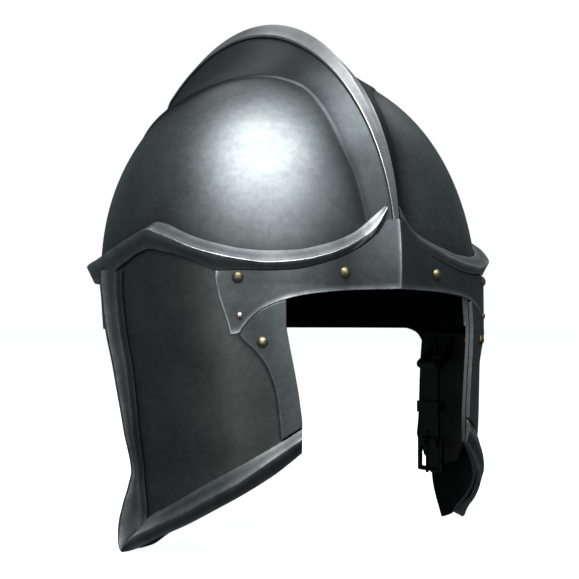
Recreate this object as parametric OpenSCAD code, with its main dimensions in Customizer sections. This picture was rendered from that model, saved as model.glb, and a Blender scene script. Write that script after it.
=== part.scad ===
// Knight's open-faced helmet with a tall comb, in millimetres.
// +Z is up, the face looks along -Y and the wearer's right is -X.
// The origin is the middle of the head, level with the lower rim at the nape.

/* [Skull] */
// Half the width of the skull at the brow line
skull_half_w = 110.5; // [100:0.5:120]
// Reach of the skull in front of the origin
skull_front = 97; // [90:1:105]
// Reach of the skull behind the origin
skull_rear = 118; // [110:1:125]
// Height of the brow line, where the skull is widest
brow_line_z = 24; // [20:1:28]
// Height of the skull above the brow line, without the comb
skull_rise = 131; // [120:1:140]
// Thickness of the plate steel
steel_t = 1.8; // [1.4:0.1:2]

/* [Comb] */
// Half the width of the strip on top of the comb
comb_strip_half_w = 8; // [6:0.5:10]
// Thickness of the strip
comb_strip_t = 1.6; // [1.2:0.1:2]

/* [Rim moulding] */
// How far the moulding's ridge stands off the skull
ridge_out = 8; // [6:0.5:10]

/* [Side plates] */
// Height of the raised borders over the side plates
border_t = 2.2; // [1.5:0.1:3]
// How far the turned-out rear border reaches
rear_flange = 11; // [8:0.5:13]

/* [Rivets] */
// Radius of a brass rivet's domed head
brass_head_r = 3.1; // [2.5:0.1:4]
// Radius of a steel rivet's domed head
steel_head_r = 2; // [1.6:0.1:2.5]
// Radius of the rivet shanks
shank_r = 1.5; // [1.2:0.1:1.6]

/* [Chin straps] */
// Width of the leather straps
strap_w = 16; // [12:1:18]
// Length of the right strap, from its bar to its tip
strap_right_len = 80; // [70:1:84]
// Length of the left strap, from its bar to its buckle bar
strap_left_len = 48; // [46:1:60]
// Height of the bars that the straps hang from
strap_bar_z = -22; // [-30:1:-15]
// Radius of the hanger and buckle bars
bar_r = 1.5; // [1.2:0.1:1.8]
// Thickness of the strap leather
strap_t = 2; // [1.6:0.1:2.4]

/* [Hidden] */
fit = 0.3;
gap = 0.4;
front_power = 2.4;
rear_power = 2;
bore_clear = 0.06;
steel = "dimgray";
dark_steel = "#3a4042";
brass = "#8c8a68";
leather = "#2a211c";
linen = "#33302b";

// Width, front and rear reach of the walls below the brow line, as [height, size]
wall_half_w = [[-125, 108], [-95, 102], [-80, 102], [-55, 105], [-20, 107], [0, 109],
    [brow_line_z, skull_half_w]];
wall_front = [[-125, 103], [-60, 102], [-20, 101], [0, 99.5], [brow_line_z, skull_front]];
wall_rear = [[-20, 114], [0, 116], [brow_line_z, skull_rear]];

// The comb along its arch, as [angle over the head from the brow, size]
comb_base_half_w = [[0, 9], [22, 12], [35, 13.5], [45, 17], [57, 20], [65, 23], [71, 31], [76, 41],
    [81, 54], [86, 63], [92, 69], [110, 72], [130, 66], [150, 50], [165, 34], [180, 22]];
// Reach of the comb at the brow, at its peak and at the nape, and the angle of the peak
comb_brow_reach = 102;
comb_peak_reach = 187;
comb_nape_reach = 118.5;
comb_peak_angle = 137;
// Half width of the comb's top at the brow, at its widest and at the nape, and the angle of the widest
comb_brow_half_w = 0.6;
comb_wide_half_w = 7;
comb_nape_half_w = 2.5;
comb_wide_angle = 92;
// Height of the strip's middle over its edges, and the angles where that starts and ends
comb_roof_h = 7.6;
comb_roof_from = 46;
comb_roof_to = 164;

// Plan outline of a wall: distance from the axis in the direction t from the front
function plan(t, a, b, p) = pow(pow(abs(sin(t)) / a, p) + pow(abs(cos(t)) / b, p), -1 / p);
function mix(a, b, k) = a + (b - a) * k;
function clamp01(k) = min(1, max(0, k));
function ease(k) = (1 - cos(180 * clamp01(k))) / 2;
function soft_max(a, b, r) = (a + b + sqrt((a - b) * (a - b) + r * r)) / 2;

// The bare skull over the head at angle f, at the distance x from the middle plane
function skull_arch(f, off) =
    let (w = (1 + cos(f)) / 2, n = mix(2.35, 1.9, w), b = (f < 90 ? skull_front : skull_rear) + off)
    pow(pow(abs(cos(f)) / b, n) + pow(sin(f) / (skull_rise + off), n), -1 / n);
function skull_reach(f, x, off) =
    let (p = mix(rear_power, front_power, (1 + cos(f)) / 2))
    skull_arch(f, off) * pow(max(0, 1 - pow(x / (skull_half_w + off), p)), 1 / p);

// The skull with its comb
function comb_reach(f) = f < comb_peak_angle
    ? mix(comb_brow_reach, comb_peak_reach, pow(max(0, f) / comb_peak_angle, 1.45))
    : mix(comb_peak_reach, comb_nape_reach, ease((f - comb_peak_angle) / (180 - comb_peak_angle)));
function comb_top_w(f) = f < comb_wide_angle
    ? mix(comb_brow_half_w, comb_wide_half_w, pow(sin(90 * max(0, f) / comb_wide_angle), 2))
    : mix(comb_wide_half_w, comb_nape_half_w, ease((f - comb_wide_angle) / (180 - comb_wide_angle)));
function comb_roof(f) = comb_roof_h
    * pow(sin(180 * clamp01((f - comb_roof_from) / (comb_roof_to - comb_roof_from))), 1.3);
function comb_half_top(f, off) = max(0.3, comb_top_w(f) * comb_strip_half_w / 8 + off);
function comb_flank(f, x, off) =
    let (xt = comb_half_top(f, off), xb = lookup(f, comb_base_half_w) + off,
        top = comb_reach(f) + off, foot = skull_reach(f, xb, off),
        k = (x - xt) / (xb - xt))
    k <= 0 ? top : k > 1 ? foot - 3 * (x - xb) : mix(top, foot, k) - 0.06 * (top - foot) * sin(180 * k);
function helmet_reach(f, x, off) =
    let (r = min(6, 0.3 * max(0, comb_reach(f) - skull_arch(f, 0))))
    x <= comb_half_top(f, off) ? comb_reach(f) + off
        : soft_max(comb_flank(f, x, off), skull_reach(f, x, off), r) - 0.1 * r;
function over_head(f, x, r) = [-x, -r * cos(f), brow_line_z + r * sin(f)];

// Any place on the outside: t is the direction from the front and z the height
function inside_at(t, z, r, off, comb) =
    let (x = r * abs(sin(t)), dz = z - brow_line_z, y = r * cos(t), q = norm([y, dz]), f = atan2(dz, y))
    x < skull_half_w + off && q < (comb ? helmet_reach(f, x, off) : skull_reach(f, x, off));
function seek(t, z, off, comb, lo, hi, n) =
    n == 0 ? (lo + hi) / 2
        : let (m = (lo + hi) / 2) inside_at(t, z, m, off, comb) ? seek(t, z, off, comb, m, hi, n - 1)
            : seek(t, z, off, comb, lo, m, n - 1);
function reach_at(t, z, off, comb = false) =
    z > brow_line_z ? seek(t, z, off, comb, 20, 190, 18)
        : plan(t, lookup(z, wall_half_w) + off,
            (cos(t) > 0 ? lookup(z, wall_front) : lookup(z, wall_rear)) + off,
            cos(t) > 0 ? front_power : rear_power);
function at(t, z, off, comb = false) =
    let (r = reach_at(t, z, off, comb)) [-r * sin(t), -r * cos(t), z];

// A closed sheet between an outer and an inner grid of nu by nv points
module sheet(nu, nv, outer, inner) {
    n = nu * nv;
    points = [for (s = [0, 1]) for (i = [0:nu - 1]) for (j = [0:nv - 1])
        let (u = i / (nu - 1), v = j / (nv - 1)) s == 0 ? outer(u, v) : inner(u, v)];
    face_pairs = [for (i = [0:nu - 2]) for (j = [0:nv - 2])
        let (a = i * nv + j, b = a + nv, c = b + 1, d = a + 1)
        each [[a, b, c], [a, c, d], [n + a, n + c, n + b], [n + a, n + d, n + c]]];
    edge = concat([for (i = [0:nu - 2]) i * nv], [for (j = [0:nv - 2]) (nu - 1) * nv + j],
        [for (i = [nu - 1:-1:1]) i * nv + nv - 1], [for (j = [nv - 1:-1:1]) j]);
    sides = [for (k = [0:len(edge) - 1]) let (a = edge[k], b = edge[(k + 1) % len(edge)])
        each [[a, n + a, b], [b, n + a, n + b]]];
    polyhedron(points, concat(face_pairs, sides), convexity = 8);
}

// A bar swept through n stations, each a loop of m points
module sweep(n, m, section) {
    points = [for (i = [0:n - 1]) each section(i / (n - 1))];
    skin = [for (i = [0:n - 2]) for (j = [0:m - 1])
        let (a = i * m + j, b = i * m + (j + 1) % m, c = b + m, d = a + m) each [[a, c, b], [a, d, c]]];
    caps = [for (j = [1:m - 2]) each [[0, j, j + 1],
        [(n - 1) * m, (n - 1) * m + j + 1, (n - 1) * m + j]]];
    polyhedron(points, concat(skin, caps), convexity = 8);
}
module both_sides(left) {
    if (left) mirror([1, 0, 0]) children();
    else children();
}

// Rivets stand square to the wall at [t, z]
function normal_at(t, z) =
    let (e = 1, a = at(t - e, z, 0), b = at(t + e, z, 0), c = at(t, z - e, 0), d = at(t, z + e, 0),
        n = cross(b - a, d - c)) n / norm(n) * (n * at(t, 0, 0) > 0 ? 1 : -1);
module at_wall(t, z) {
    n = normal_at(t, z);
    translate(at(t, z, 0)) rotate([0, acos(n[2]), atan2(n[1], n[0])]) children();
}
brow_rivet_places = [[17.9, 30.2], [47.9, 27.6]];
cheek_rivet_place = [41.3, -6.1];
strut_rivet_place = [47.3, 7.5];
hanger_y = -22.5;
hanger_x = 90.5;
module rivet_hole(place, r = shank_r + 0.02) {
    at_wall(place[0], place[1]) translate([0, 0, -12]) cylinder(h = 30, r = r, $fn = 32);
}
module rivet(place, seat, head_r, head_h) {
    at_wall(place[0], place[1]) {
        translate([0, 0, -4.2]) cylinder(h = seat + 4.3, r = shank_r, $fn = 32);
        translate([0, 0, seat]) rotate_extrude($fn = 32)
            intersection() {
                translate([0, head_h - (head_r * head_r + head_h * head_h) / 2 / head_h])
                    circle(r = (head_r * head_r + head_h * head_h) / 2 / head_h, $fn = 64);
                square([head_r, head_h]);
            }
    }
}
liner_rivet_places = [[30, 38], [90, 38], [150, 38]];
liner_depth = 5.6;
hanger_rivet_y = [hanger_y - 4.5, hanger_y + 4.5];
hanger_rivet_z = strap_bar_z + 11;

// The skull: each half is one sheet, raised up the side of the comb
function skull_x(f, j, off) =
    let (xt = comb_half_top(f, off), xb = lookup(f, comb_base_half_w) + off + 5,
        a = skull_half_w + off, k = asin(min(1, xb / a)))
    j == 0 ? 0.15 : j <= 8 ? mix(xt, xb, (j - 1) / 7) : a * sin(mix(k, 88.5, (j - 8) / 9));
function skull_point(u, v, off) =
    let (f = 180 * u, x = skull_x(f, round(17 * v), off)) over_head(f, x, helmet_reach(f, x, off));
module skull_half() {
    difference() {
        sheet(31, 18, function(u, v) skull_point(u, 1 - v, 0), function(u, v) skull_point(u, 1 - v, -steel_t));
        for (p = brow_rivet_places) rivet_hole(p);
        for (p = liner_rivet_places) rivet_hole(p);
    }
}
module skull_right() {
    color(steel) skull_half();
}
module skull_left() {
    color(steel) mirror([1, 0, 0]) skull_half();
}

// The strip that closes the top of the comb, raised to a roof over the crown
module comb_strip() {
    color("silver") sweep(44, 6, function(u)
        let (f = mix(19.8, 172.2, u), w = comb_half_top(f, 0) + 0.6, r = comb_reach(f) + gap,
            h = comb_roof(f))
        [for (p = [[0, h], [w, 0], [w, comb_strip_t], [0, comb_strip_t + h], [-w, comb_strip_t], [-w, 0]])
            over_head(f, p[0], r + p[1])]);
}

// The rim moulding: height of its upper edge, ridge and lower edge round the helmet
rim_upper = [[2.2, 67.2], [9.7, 56], [15.1, 50.6], [23.6, 45.5], [32, 42.3], [40, 41.7], [48, 43],
    [53.2, 45.2], [59.7, 48.6], [65.2, 52.6], [71.1, 57.1], [74.7, 58.2], [78.9, 55.3], [87, 50],
    [98.4, 44.9], [106.7, 42.2], [130, 40], [180, 39]];
rim_ridge = [[2.2, 66.3], [6.6, 55.5], [15.6, 45.4], [24.5, 39.3], [32.2, 36.4], [39.6, 35.4],
    [46.9, 37.2], [53.8, 40.2], [59.5, 43.5], [65.2, 48], [70.7, 51.6], [74.4, 53.7], [79.3, 51.2],
    [90, 44.6], [102.5, 38.9], [120, 36.5], [180, 35]];
rim_lower = [[2.2, 63.5], [6.6, 51.8], [15.6, 41.5], [24.5, 35.6], [32.2, 32.4], [39.6, 31.6],
    [46.9, 31.7], [53.7, 31.6], [56.2, 33.7], [61.1, 37.5], [64.8, 39.7], [69.5, 41.6], [75.3, 43.5],
    [80, 41.7], [86, 37.2], [93.8, 32.2], [101.2, 28.5], [120, 27], [180, 26.5]];
rim_out = [[2.2, 1.2], [8, 0.55 * ridge_out], [20, 0.8 * ridge_out], [40, 0.85 * ridge_out],
    [60, ridge_out], [180, ridge_out]];
rim_t = concat([for (t = [2.4:2:14]) t], [for (t = [16:4:48]) t], [for (t = [52:3:100]) t],
    [for (t = [106:7.3:179.5]) t], [179.8]);
module rim_moulding() {
    sweep(len(rim_t), 5, function(u)
        let (t = rim_t[round(u * (len(rim_t) - 1))], zu = lookup(t, rim_upper), zr = lookup(t, rim_ridge),
            zl = lookup(t, rim_lower), out = lookup(t, rim_out))
        [at(t, zu, 0.6, true), at(t, zl, 0.6, true), at(t, zl, 0.6 + min(3.2, 0.6 * out), true),
            at(t, zr, 0.3 + out, true), at(t, zu, 0.6 + min(1, out / 3), true)]);
}
module rim_moulding_right() {
    color(dark_steel) rim_moulding();
}
module rim_moulding_left() {
    color(dark_steel) mirror([1, 0, 0]) rim_moulding();
}

// The brow plate: a keeled band with a pointed strut behind each cheek
brow_bottom = [[0, 22.2], [14.8, 21.4], [26.7, 19.6], [32, 18], [37.5, 14.9], [42.5, 9.7], [45.8, 3],
    [47.4, -1.2], [49.2, -1.7], [49.8, 2.5], [51.4, 11.8], [52.6, 19.6], [53.4, 27.5]];
brow_t = [0, 2, 4.5, 7, 10, 14, 18.5, 23, 27, 31, 35, 38, 41, 43.5, 45.8, 47.4, 49.2, 50, 51.4, 52.6,
    53.4];
function brow_station(u) =
    let (m = len(brow_t) - 1, k = round(u * 2 * m) - m) sign(k) * brow_t[abs(k)];
function brow_top(t) = t < 2.2 ? mix(59.5, 59.2, t / 2.2) : min(59.2, lookup(t, rim_lower) - 1.5 * gap);
function keel(t, z) = mix(5.6, 8.2, clamp01((z - 22) / 36)) * clamp01(1 - abs(t) / 14);
function brow_point(u, v, outer) =
    let (t = brow_station(u), z = mix(lookup(abs(t), brow_bottom), brow_top(abs(t)), v),
        base = outer ? 4 : mix(0.8, 2.5, clamp01((abs(t) - 29) / 5)),
        r = max(reach_at(t, z, base + keel(t, z)), reach_at(t, z, outer ? 2.6 : 0.9, true)))
    [-r * sin(t), -r * cos(t), z];
module brow_plate() {
    color(dark_steel) difference() {
        sheet(2 * len(brow_t) - 1, 5, function(u, v) brow_point(u, v, true),
            function(u, v) brow_point(u, v, false));
        for (left = [false, true]) both_sides(left) {
            for (p = brow_rivet_places) rivet_hole(p);
            rivet_hole(strut_rivet_place);
        }
    }
}

// The band round the sides and nape that carries the plates
band_bottom = [[36, 2], [84, 0], [86, -16], [91, -16], [93, -8], [97, -2], [102, 0], [180, 0]];
band_t = concat([for (t = [36:6:84]) t], [86, 88.5, 91, 93, 97, 102], [for (t = [108:8:180]) t]);
function band_station(u) =
    let (m = len(band_t), k = round(u * (2 * m - 2))) k < m ? band_t[k] : 360 - band_t[2 * m - 2 - k];
module neck_band() {
    color(steel) difference() {
        sheet(2 * len(band_t) - 1, 4,
            function(u, v) let (t = band_station(u), lo = lookup(t > 180 ? 360 - t : t, band_bottom))
                at(t, mix(lo, brow_line_z, v), 0),
            function(u, v) let (t = band_station(u), lo = lookup(t > 180 ? 360 - t : t, band_bottom))
                at(t, mix(lo, brow_line_z, v), -steel_t));
        for (left = [false, true]) both_sides(left) rivet_hole(strut_rivet_place);
    }
}

// The side plates: front edge, rear crease and lower edge
plate_front = [[-66, 30.8], [-51, 30.5], [-36, 31.3], [-20, 32.7], [-7, 34], [3, 34.8], [45, 35]];
plate_rear = [[-119, 82.5], [-104, 83.5], [-93, 84.5], [-82, 85.5], [-55, 86], [-22, 88], [0, 90],
    [22, 91], [45, 91]];
plate_bottom = [[30.5, -62], [38, -73.3], [47, -84.4], [55, -92.9], [63, -101], [72, -109], [78, -115.5],
    [84, -119]];
function plate_point(u, v, off) =
    let (t0 = mix(31, 84, u), z = mix(lookup(t0, plate_bottom), lookup(mix(35, 91, u), rim_lower) - gap, v))
    at(mix(lookup(z, plate_front), lookup(z, plate_rear), u), z, off);
module hanger_rivet_holes(r) {
    for (y = hanger_rivet_y) translate([-112, y, hanger_rivet_z]) rotate([0, 90, 0])
        cylinder(h = 20, r = r, $fn = 32);
}
module side_plate() {
    difference() {
        sheet(17, 11, function(u, v) plate_point(u, v, fit + steel_t),
            function(u, v) plate_point(u, v, fit));
        rivet_hole(brow_rivet_places[1]);
        rivet_hole(cheek_rivet_place);
        rivet_hole(strut_rivet_place);
        hanger_rivet_holes(shank_r + 0.02);
    }
}
module side_plate_right() {
    color(steel) side_plate();
}
module side_plate_left() {
    color(steel) mirror([1, 0, 0]) side_plate();
}

// The raised border down the front of each side plate, with its gusset under the brow
border_step = [[-62, 36], [-46, 36.9], [-33, 37.7], [-23, 39.3], [-17.7, 40.6], [-11, 43.2],
    [-3.8, 47.2], [0, 48.4]];
lower_upper = [[30.5, -50], [38, -59], [53.5, -75.9], [72.3, -94.8], [84, -103]];
function border_point(u, v, off) =
    let (lo = lookup(mix(30.6, 36.4, u), lower_upper) + gap,
        hi = lookup(mix(34.8, 48.4, u), brow_bottom) - 3 * gap, z = mix(lo, hi, v))
    at(mix(lookup(z, plate_front), lookup(z, border_step), u), z, off);
border_base = fit + steel_t + fit;
module cheek_border() {
    difference() {
        sheet(9, 13, function(u, v) border_point(u, v, border_base + border_t * (u == 1 ? 0.5 : 1)),
            function(u, v) border_point(u, v, border_base));
        rivet_hole(cheek_rivet_place);
    }
}
module cheek_border_right() {
    color(dark_steel) cheek_border();
}
module cheek_border_left() {
    color(dark_steel) mirror([1, 0, 0]) cheek_border();
}

// The bevelled border along the lower edge, which flares into a point at the rear
lower_ridge = [[30.5, -56], [38, -66], [48, -79.5], [55, -87], [62.7, -95], [72, -104], [78, -110],
    [81.5, -114]];
lower_edge = [[30.5, -63.5], [38, -74.8], [47, -85.9], [55, -94.4], [63, -102.5], [72, -110.5],
    [78, -117], [81.5, -120.5]];
lower_out = [[30.5, 5], [38, 6], [53, 7.2], [66, 9], [75, 12], [81.5, 17]];
module lower_border() {
    sweep(19, 6, function(u)
        let (t = mix(30.6, 80.2, u), zu = lookup(t, lower_upper), zr = lookup(t, lower_ridge),
            zb = lookup(t, lower_edge), out = lookup(t, lower_out), b = border_base + 0.2)
        [at(t, zu, b), at(t, zr, b), at(t, zb, max(b, out - 5)), at(t, zb, out - 2), at(t, zr, out),
            at(t, zu - 1, b + 1.4)]);
}
module lower_border_right() {
    color("gray") lower_border();
}
module lower_border_left() {
    color("gray") mirror([1, 0, 0]) lower_border();
}

// The border turned out at the rear edge of each side plate
flange_reach = [[-116, 15], [-104, 14], [-95, 11.5], [-86, 7.5], [-77, 5], [-55, 6.5], [-22, 9],
    [23, rear_flange - 0.6], [33, rear_flange]];
module rear_border() {
    sweep(22, 5, function(u)
        let (z = mix(-115, 32.5, u), c = at(lookup(z, plate_rear), z, border_base + 0.3),
            f = at(lookup(z, plate_rear) - 2.6, z, border_base + 0.3), e = lookup(z, flange_reach))
        [c + [0, 1.2, 0], c + [-e, 1.6, 0], c + [-e, -0.8, 0], c + [-2.4, -1.6, 0], f + [-0.4, 0, 0]]);
}
module rear_border_right() {
    color(dark_steel) rear_border();
}
module rear_border_left() {
    color(dark_steel) mirror([1, 0, 0]) rear_border();
}

// Rivets and the washers that they are closed over
brow_seat = 4.4;
cheek_seat = border_base + border_t + 0.45;
module brow_rivets() {
    color(brass) for (left = [false, true], p = brow_rivet_places)
        both_sides(left) rivet(p, brow_seat, brass_head_r, 1.9);
}
module cheek_rivets() {
    color(brass) for (left = [false, true])
        both_sides(left) rivet(cheek_rivet_place, cheek_seat, brass_head_r - 0.2, 1.8);
}
module strut_rivets() {
    color("rosybrown") for (left = [false, true])
        both_sides(left) rivet(strut_rivet_place, brow_seat, steel_head_r, 1.2);
}
module rivet_washer(place, seat) {
    at_wall(place[0], place[1]) translate([0, 0, seat - 1.1]) difference() {
        cylinder(h = 1, r = 3.6, $fn = 40);
        translate([0, 0, -1]) cylinder(h = 3, r = shank_r + 0.02, $fn = 32);
    }
}
module rivet_washers() {
    color("gray") for (left = [false, true]) both_sides(left) {
        for (p = brow_rivet_places) rivet_washer(p, -steel_t - 0.7);
        rivet_washer(strut_rivet_place, -steel_t - 0.3);
        rivet_washer(cheek_rivet_place, 0);
    }
}

// The lining: a leather band, six quilted pads and a crown pad
module band_outline(off) {
    polygon([for (t = [0:5:355]) let (r = reach_at(t, brow_line_z, off)) [-r * sin(t), -r * cos(t)]]);
}
module liner_band() {
    color(leather) difference() {
        translate([0, 0, 28]) linear_extrude(18) difference() {
            band_outline(-4.6);
            band_outline(-6.6);
        }
        for (left = [false, true], p = liner_rivet_places) both_sides(left) rivet_hole(p);
    }
}
module liner_rivets() {
    color("gray") for (left = [false, true], p = liner_rivet_places) both_sides(left)
        at_wall(p[0], p[1]) {
            translate([0, 0, -8]) cylinder(h = 7.9, r = shank_r, $fn = 32);
            translate([0, 0, -8]) cylinder(h = 0.9, r = 3.2, $fn = 40);
        }
}
function dome_at(t, e, off) =
    let (dx = sin(t) * cos(e), dy = cos(t) * cos(e), dz = sin(e), q = norm([dy, dz]), f = atan2(dz, dy),
        p = mix(rear_power, front_power, (1 + cos(f)) / 2),
        r = pow(pow(abs(dx) / (skull_half_w + off), p) + pow(q / skull_arch(f, off), p), -1 / p))
    [-r * dx, -r * dy, brow_line_z + r * dz];
module liner_pad(n) {
    t0 = 60 * (n - 1) + 2;
    color(linen) sheet(9, 8,
        function(u, v) dome_at(mix(t0, t0 + 56, u), mix(14, 66, v), -5),
        function(u, v) dome_at(mix(t0 + 1, t0 + 55, u), mix(16, 64, v),
            -7 - 7 * sqrt(sin(180 * mix(0.1, 0.9, u)) * sin(180 * mix(0.1, 0.9, v)))));
}
module crown_pad() {
    color(linen) translate([0, 4, 134]) rotate_extrude($fn = 64)
        polygon([[0, 0], [33, 0], [37, 3], [37, 7], [34, 9], [0, 9]]);
}

// The leather lining inside each side plate, which reaches back behind the ear
ear_front = [[-90, 70], [-70, 60], [-10, 62], [-2.5, 64]];
ear_rear = [[-90.5, 84.5], [-67, 91], [-2.5, 91.5]];
ear_bottom = [[60, -80], [71, -84], [84.5, -90.5], [87.5, -79.5], [91, -67]];
ear_t = 2;
function ear_point(u, v, off) =
    let (t0 = mix(60, 91, u), z = mix(lookup(t0, ear_bottom), -2.5, v))
    at(mix(lookup(z, ear_front), lookup(z, ear_rear), u), z, off);
module ear_lining() {
    difference() {
        sheet(15, 9, function(u, v) ear_point(u, v, -2.3), function(u, v) ear_point(u, v, -2.3 - ear_t));
        hanger_rivet_holes(shank_r + 0.02);
    }
}
module ear_lining_right() {
    color(leather) ear_lining();
}
module ear_lining_left() {
    color(leather) mirror([1, 0, 0]) ear_lining();
}

// The chin straps hang inside the side plates from a bar on a riveted hanger
hanger_back_x = 99.2;
module strap_hanger(left) {
    half = strap_w / 2 + 0.6;
    color("gray") both_sides(left) {
        difference() {
            translate([-hanger_back_x, hanger_y - 10, strap_bar_z + 5]) cube([1.5, 20, 12]);
            hanger_rivet_holes(shank_r + 0.02);
        }
        for (s = [-1, 1]) hull() {
            translate([-hanger_back_x, hanger_y + s * (half + 1) - 1, strap_bar_z + 5]) cube([1.5, 2, 4]);
            translate([-hanger_x, hanger_y + s * (half + 1) + 1, strap_bar_z]) rotate([90, 0, 0])
                cylinder(h = 2, r = bar_r + 1, $fn = 32);
        }
        translate([-hanger_x, hanger_y + half + 1, strap_bar_z]) rotate([90, 0, 0])
            cylinder(h = strap_w + 3.2, r = bar_r, $fn = 48);
    }
}
module hanger_rivets() {
    color("gray") for (left = [false, true], y = hanger_rivet_y) both_sides(left)
        translate([-106.2, y, hanger_rivet_z]) rotate([0, 90, 0]) {
            cylinder(h = 8.6, r = shank_r, $fn = 32);
            translate([0, 0, 8.55]) cylinder(h = 0.8, r = 2.6, $fn = 40);
        }
}
module strap_loop(z) {
    translate([0, strap_w / 2, z]) rotate([90, 0, 0]) cylinder(h = strap_w, r = bar_r + bore_clear + strap_t,
        $fn = 64);
}
module strap_bore(z) {
    translate([0, strap_w, z]) rotate([90, 0, 0]) cylinder(h = 2 * strap_w, r = bar_r + bore_clear,
        $fn = 64);
}
module strap_right() {
    color(leather) translate([-hanger_x, hanger_y, strap_bar_z]) difference() {
        union() {
            strap_loop(0);
            translate([-strap_t / 2, -strap_w / 2, 8 - strap_right_len])
                cube([strap_t, strap_w, strap_right_len - 8]);
            translate([-strap_t / 2, 0, 8 - strap_right_len]) rotate([0, 90, 0])
                cylinder(h = strap_t, r = strap_w / 2, $fn = 64);
        }
        strap_bore(0);
        for (i = [0:4]) translate([-5, 0, 12 - strap_right_len + 9 * i]) rotate([0, 90, 0])
            cylinder(h = 10, r = 1.3, $fn = 32);
    }
}
module strap_left() {
    color(leather) translate([hanger_x, hanger_y, strap_bar_z]) difference() {
        union() {
            strap_loop(0);
            strap_loop(-strap_left_len);
            translate([-strap_t / 2, -strap_w / 2, -strap_left_len]) cube([strap_t, strap_w, strap_left_len]);
        }
        strap_bore(0);
        strap_bore(-strap_left_len);
        translate([-6, -3, -strap_left_len - 6]) cube([12, 6, 13]);
    }
}
module strap_keeper() {
    color(leather) translate([hanger_x, hanger_y, strap_bar_z - 30]) difference() {
        translate([-3, -strap_w / 2 - 2, 0]) cube([6, strap_w + 4, 7]);
        translate([-strap_t / 2 - 0.05, -strap_w / 2 - 0.05, -1]) cube([strap_t + 0.1, strap_w + 0.1, 9]);
    }
}

// The buckle hangs in the lower loop of the left strap, and its prong turns on the same bar
buckle_z = strap_bar_z - strap_left_len;
buckle_h = 17;
buckle_half = strap_w / 2 + 2.2;
module buckle_bar(z, len) {
    translate([0, len / 2, z]) rotate([90, 0, 0]) cylinder(h = len, r = bar_r, $fn = 48);
}
module buckle_frame() {
    color("gray") translate([hanger_x, hanger_y, buckle_z]) {
        buckle_bar(0, 2 * buckle_half);
        buckle_bar(-buckle_h, 2 * buckle_half);
        for (s = [-1, 1]) translate([0, s * buckle_half, 0]) {
            translate([0, 0, -buckle_h]) cylinder(h = buckle_h, r = bar_r, $fn = 48);
            sphere(r = bar_r, $fn = 48);
            translate([0, 0, -buckle_h]) sphere(r = bar_r, $fn = 48);
        }
    }
}
module buckle_prong() {
    color("gray") translate([hanger_x, hanger_y, buckle_z]) difference() {
        union() {
            translate([0, 2, 0]) rotate([90, 0, 0]) cylinder(h = 4, r = bar_r + 1.3, $fn = 48);
            translate([-bar_r - 1.25, 0, 0]) rotate([180, 0, 0]) cylinder(h = buckle_h + 2, r = 0.95, $fn = 32);
        }
        translate([0, 3, 0]) rotate([90, 0, 0]) cylinder(h = 6, r = bar_r + bore_clear, $fn = 48);
    }
}

skull_right();
skull_left();
comb_strip();
brow_plate();
neck_band();
rim_moulding_right();
rim_moulding_left();
side_plate_right();
side_plate_left();
cheek_border_right();
cheek_border_left();
lower_border_right();
lower_border_left();
rear_border_right();
rear_border_left();
brow_rivets();
cheek_rivets();
strut_rivets();
rivet_washers();
liner_band();
liner_rivets();
liner_pad(1);  // liner_pad_1
liner_pad(2);  // liner_pad_2
liner_pad(3);  // liner_pad_3
liner_pad(4);  // liner_pad_4
liner_pad(5);  // liner_pad_5
liner_pad(6);  // liner_pad_6
crown_pad();
ear_lining_right();
ear_lining_left();
strap_hanger(false);  // strap_hanger_right
strap_hanger(true);  // strap_hanger_left
hanger_rivets();
strap_right();
strap_left();
strap_keeper();
buckle_frame();
buckle_prong();
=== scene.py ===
import math

import bmesh
import bpy
import numpy as np
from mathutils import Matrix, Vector


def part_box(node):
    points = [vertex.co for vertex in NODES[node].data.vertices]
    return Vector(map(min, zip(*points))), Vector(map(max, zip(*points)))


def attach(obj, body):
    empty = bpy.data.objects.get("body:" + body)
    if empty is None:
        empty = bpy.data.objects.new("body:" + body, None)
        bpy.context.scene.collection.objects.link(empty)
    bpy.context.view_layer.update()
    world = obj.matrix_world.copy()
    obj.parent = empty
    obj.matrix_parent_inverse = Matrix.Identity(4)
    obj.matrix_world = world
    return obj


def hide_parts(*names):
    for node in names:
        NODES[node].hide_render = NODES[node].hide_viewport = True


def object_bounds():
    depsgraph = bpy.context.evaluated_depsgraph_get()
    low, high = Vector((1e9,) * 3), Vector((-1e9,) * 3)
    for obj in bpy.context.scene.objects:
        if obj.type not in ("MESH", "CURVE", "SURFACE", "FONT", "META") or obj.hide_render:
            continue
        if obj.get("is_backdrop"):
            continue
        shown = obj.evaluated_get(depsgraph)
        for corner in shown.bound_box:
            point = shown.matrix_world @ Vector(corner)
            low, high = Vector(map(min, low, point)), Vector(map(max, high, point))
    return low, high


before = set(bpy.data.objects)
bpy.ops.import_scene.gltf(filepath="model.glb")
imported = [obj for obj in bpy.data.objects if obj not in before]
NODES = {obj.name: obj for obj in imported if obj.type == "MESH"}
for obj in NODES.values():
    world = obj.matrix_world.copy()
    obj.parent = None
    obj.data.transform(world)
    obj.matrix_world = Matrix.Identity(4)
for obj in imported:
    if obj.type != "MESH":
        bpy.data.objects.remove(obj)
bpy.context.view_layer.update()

# ---------------------------------------------------------------- sizes, in metres
MM = 0.001
STEEL_T = 1.8 * MM
GAP = 0.4 * MM
FIT = 0.3 * MM
SKULL_HALF_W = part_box("skull_left")[1][0]
BROW_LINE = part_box("skull_left")[0][2]
SKULL_FRONT = 97 * MM
SKULL_REAR = 118 * MM
SKULL_RISE = 131 * MM
BORDER_BASE = 2 * FIT + STEEL_T
BORDER_T = 2.2 * MM
STRIP_T = 1.6 * MM
FRONT_POWER = 2.4
REAR_POWER = 2.0
MOULDING_BASE = 0.35 * MM
STRIP_OVERHANG = 0.6 * MM
STRIP_SEAT = 0.25 * MM
STRIP_FROM, STRIP_TO = 18.4, 172.2
PLATE_STANDS = 4 * MM
PLATE_OVER_COMB = 2.6 * MM
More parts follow.
